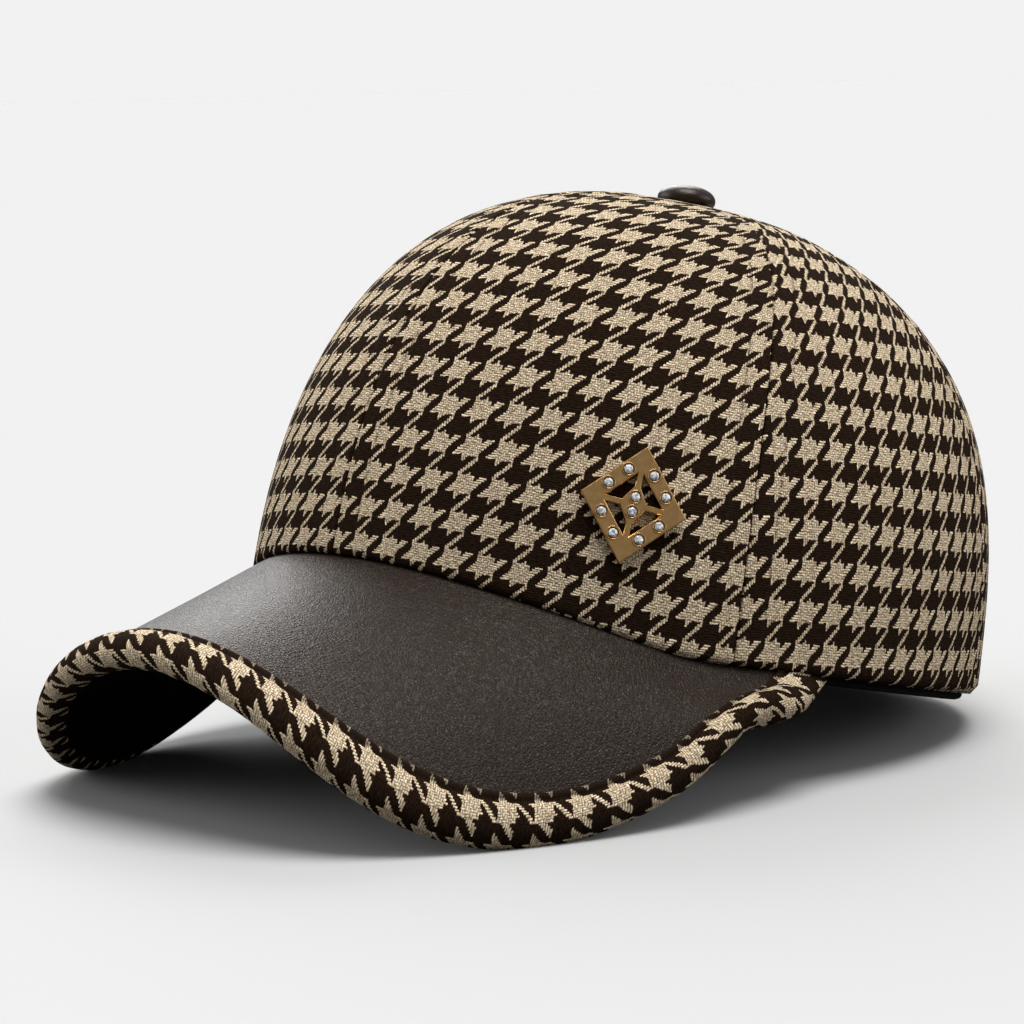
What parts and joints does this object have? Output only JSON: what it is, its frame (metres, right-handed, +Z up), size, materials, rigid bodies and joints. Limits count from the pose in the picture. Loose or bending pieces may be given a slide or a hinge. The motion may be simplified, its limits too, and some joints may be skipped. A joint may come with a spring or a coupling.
{
  "type": "houndstooth baseball cap",
  "caption": "Panelled cap in houndstooth cloth with a bent leather-covered peak, a padded cloth edge round the peak, a covered top button and a small gold badge.",
  "frame": {"origin": "on the floor, at the middle of the cap's overall length and width", "axes": "+Z up, -Y towards the peak, +X towards the wearer's left"},
  "size_m": [0.1824, 0.2576, 0.1386],
  "materials": {
    "houndstooth_cloth": "cream and dark brown houndstooth wool",
    "peak_leather": "fine-grained, satin, dark brown",
    "underside_cloth": "plain black cloth",
    "sweatband_cloth": "plain black cloth",
    "button_leather": "smooth, glossy, dark brown",
    "badge_gold": "polished, gold-coloured",
    "crystal": "clear cut stones"
  },
  "bodies": {
    "root": {"crown_panel_front_left": "houndstooth_cloth", "crown_panel_front_right": "houndstooth_cloth", "crown_panel_side_left": "houndstooth_cloth", "crown_panel_side_right": "houndstooth_cloth", "crown_panel_back_left": "houndstooth_cloth", "crown_panel_back_right": "houndstooth_cloth", "sweatband": "sweatband_cloth", "peak": "peak_leather", "peak_underside": "underside_cloth", "peak_binding": "houndstooth_cloth", "top_button": "button_leather", "badge": "badge_gold", "crystal_01": "crystal", "crystal_02": "crystal", "crystal_03": "crystal", "crystal_04": "crystal", "crystal_05": "crystal", "crystal_06": "crystal", "crystal_07": "crystal", "crystal_08": "crystal", "crystal_09": "crystal", "crystal_10": "crystal"}
  },
  "joints": []
}
